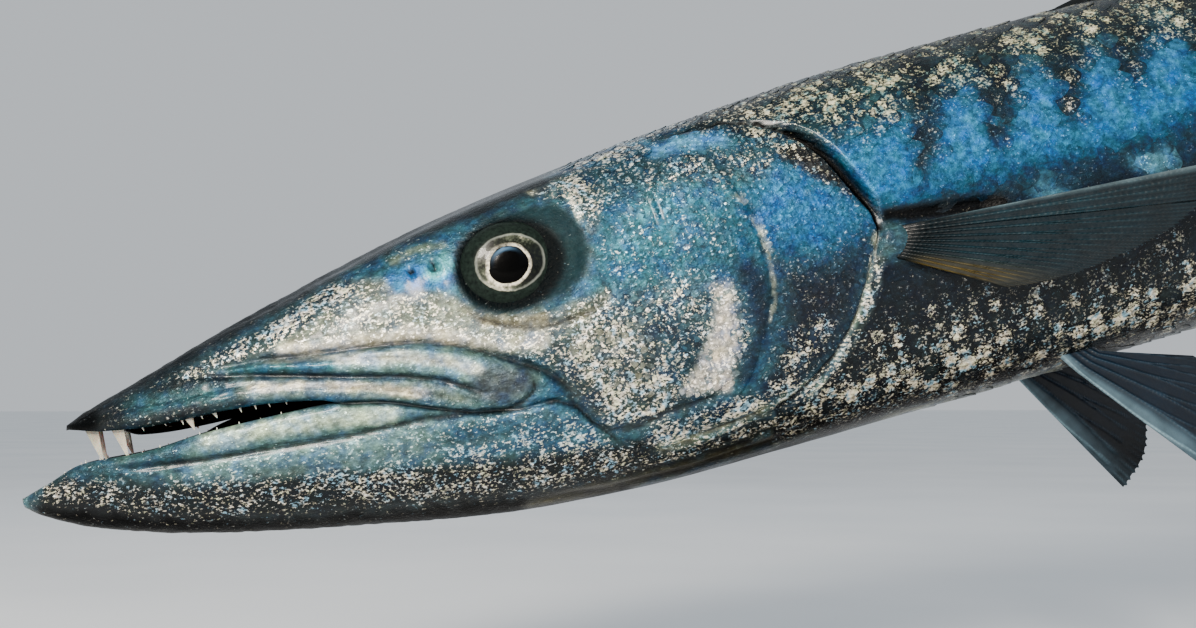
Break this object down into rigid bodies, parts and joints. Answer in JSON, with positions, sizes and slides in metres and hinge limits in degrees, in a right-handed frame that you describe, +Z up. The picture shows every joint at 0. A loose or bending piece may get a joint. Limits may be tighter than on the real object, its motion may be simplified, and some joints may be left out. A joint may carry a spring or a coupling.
{
  "type": "barracuda model",
  "caption": "Life-size still model of a great barracuda, nose down with its mouth ajar, on a flat base with rods.",
  "frame": {"origin": "centre of the underside of the stand's base, on the floor", "axes": "+X from the fish's head towards its tail, +Y towards its right side, +Z up; the body's own axis is tilted 15.4 degrees nose down in the XZ plane"},
  "size_m": [1.1922, 0.2, 0.5839],
  "materials": {
    "head_skin": "smooth dark green-grey skin of the snout and crown, satin gloss",
    "jaw_skin": "pale blue-grey and cream skin of the lower jaw, wet gloss",
    "plate_skin": "silvery skin over the cheek, maxilla and gill covers, bright glints",
    "throat_skin": "tan skin under the head",
    "flank_skin": "silver scales, dark bars above, pale belly",
    "fin_skin": "dark translucent fin membrane over fine rays",
    "eye": "black pupil in a silver iris, glossy",
    "stand_steel": "fine brushed",
    "stand_wood": "dark stained, satin"
  },
  "bodies": {
    "root": {"anal_fin": "fin_skin", "cheek_left": "plate_skin", "cheek_right": "plate_skin", "eye_left": "eye", "eye_right": "eye", "first_dorsal_fin": "fin_skin", "gill_cover_left": "plate_skin", "gill_cover_right": "plate_skin", "head": "head_skin", "lower_jaw": "jaw_skin", "maxilla_left": "plate_skin", "maxilla_right": "plate_skin", "pectoral_fin_left": "fin_skin", "pectoral_fin_right": "fin_skin", "pelvic_fin_left": "fin_skin", "pelvic_fin_right": "fin_skin", "second_dorsal_fin": "fin_skin", "stand_base": "stand_wood", "stand_collar_front": "stand_steel", "stand_collar_rear": "stand_steel", "stand_cup_front": "stand_steel", "stand_cup_rear": "stand_steel", "stand_rod_front": "stand_steel", "stand_rod_rear": "stand_steel", "tail_fin_lower": "fin_skin", "tail_fin_upper": "fin_skin", "tail_stalk": "flank_skin", "throat": "throat_skin", "trunk_front": "flank_skin", "trunk_middle": "flank_skin", "trunk_rear": "flank_skin"}
  },
  "joints": []
}
